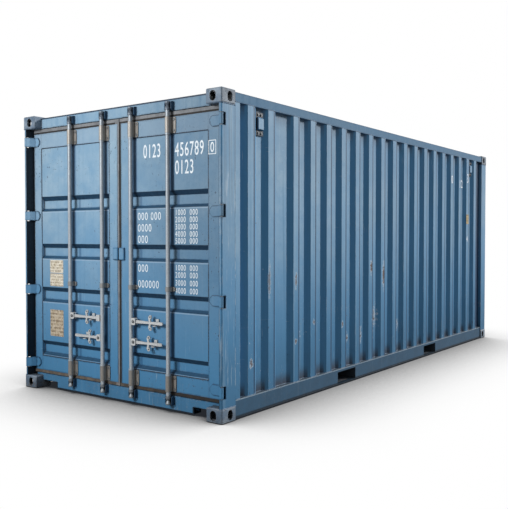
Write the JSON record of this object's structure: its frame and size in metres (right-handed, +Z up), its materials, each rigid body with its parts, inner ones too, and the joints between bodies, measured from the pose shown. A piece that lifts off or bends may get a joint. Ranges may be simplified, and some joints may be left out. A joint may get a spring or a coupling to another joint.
{
  "type": "shipping container",
  "caption": "Long blue corrugated steel freight container with double rear doors, upright locking bars, lift-out handles, corner castings and fork pockets.",
  "frame": {"origin": "bottom centre of the bounding box, on the ground under the middle of the container", "axes": "+X along the length from the door end to the blind end, +Y across the width to the left of someone facing the doors, +Z up"},
  "size_m": [6.058, 2.438, 2.591],
  "materials": {
    "blue_paint": "worn satin",
    "casting_paint": "worn, chipped",
    "underframe_paint": "dull, dirty",
    "vent_paint": "satin",
    "gear_steel": "galvanised",
    "gasket_rubber": "matt",
    "floor_plywood": "worn"
  },
  "bodies": {
    "container": {"corner_castings_bottom": "casting_paint", "corner_castings_top": "casting_paint", "door_header": "blue_paint", "door_sill": "blue_paint", "cam_keepers": "blue_paint", "front_posts": "blue_paint", "hinge_pins": "gear_steel", "ventilators": "vent_paint", "front_top_rail": "blue_paint", "front_bottom_rail": "blue_paint", "front_wall": "blue_paint", "fork_pockets": "underframe_paint", "cross_members": "underframe_paint", "plywood_floor": "floor_plywood", "roof_panel": "blue_paint", "door_post_left": "blue_paint", "side_top_rail_left": "blue_paint", "side_bottom_rail_left": "blue_paint", "side_wall_left": "blue_paint", "door_post_right": "blue_paint", "side_top_rail_right": "blue_paint", "side_bottom_rail_right": "blue_paint", "side_wall_right": "blue_paint"},
    "left_door": {"door_frame_left": "blue_paint", "door_panel_left": "blue_paint", "door_gasket_left": "gasket_rubber", "door_lock_plate_left": "blue_paint", "door_hinges_left": "blue_paint", "bar_guides_left": "gear_steel", "handle_catches_left": "gear_steel"},
    "right_door": {"door_frame_right": "blue_paint", "door_panel_right": "blue_paint", "door_gasket_right": "gasket_rubber", "door_lock_plate_right": "blue_paint", "door_hinges_right": "blue_paint", "bar_guides_right": "gear_steel", "handle_catches_right": "gear_steel"},
    "bar_1": {"locking_bar_1": "gear_steel"},
    "lever_1": {"handle_1": "gear_steel"},
    "bar_2": {"locking_bar_2": "gear_steel"},
    "lever_2": {"handle_2": "gear_steel"},
    "bar_3": {"locking_bar_3": "gear_steel"},
    "lever_3": {"handle_3": "gear_steel"},
    "bar_4": {"locking_bar_4": "gear_steel"},
    "lever_4": {"handle_4": "gear_steel"}
  },
  "joints": [
    {"name": "left_door_hinge", "type": "hinge", "parent": "container", "child": "left_door", "pos_m": [-3.013, 1.203, 1.3], "axis": [0, 0, -1], "range_deg": [0, 270]},
    {"name": "right_door_hinge", "type": "hinge", "parent": "container", "child": "right_door", "pos_m": [-3.013, -1.203, 1.3], "axis": [0, 0, 1], "range_deg": [0, 270]},
    {"name": "bar_1_turn", "type": "hinge", "parent": "left_door", "child": "bar_1", "pos_m": [-2.977, 0.611, 1.3], "axis": [0, 0, 1], "range_deg": [-110, 0]},
    {"name": "bar_2_turn", "type": "hinge", "parent": "left_door", "child": "bar_2", "pos_m": [-2.977, 0.18, 1.3], "axis": [0, 0, -1], "range_deg": [-110, 0]},
    {"name": "bar_3_turn", "type": "hinge", "parent": "right_door", "child": "bar_3", "pos_m": [-2.977, -0.18, 1.3], "axis": [0, 0, 1], "range_deg": [-110, 0]},
    {"name": "bar_4_turn", "type": "hinge", "parent": "right_door", "child": "bar_4", "pos_m": [-2.977, -0.611, 1.3], "axis": [0, 0, -1], "range_deg": [-110, 0]},
    {"name": "handle_1_lift", "type": "hinge", "parent": "bar_1", "child": "lever_1", "pos_m": [-2.977, 0.571, 0.726], "axis": [1, 0, 0], "range_deg": [-12, 0]},
    {"name": "handle_2_lift", "type": "hinge", "parent": "bar_2", "child": "lever_2", "pos_m": [-2.977, 0.22, 0.551], "axis": [-1, 0, 0], "range_deg": [-12, 0]},
    {"name": "handle_3_lift", "type": "hinge", "parent": "bar_3", "child": "lever_3", "pos_m": [-2.977, -0.22, 0.726], "axis": [1, 0, 0], "range_deg": [-12, 0]},
    {"name": "handle_4_lift", "type": "hinge", "parent": "bar_3", "child": "lever_4", "pos_m": [-2.977, -0.22, 0.551], "axis": [1, 0, 0], "range_deg": [-12, 0]}
  ]
}
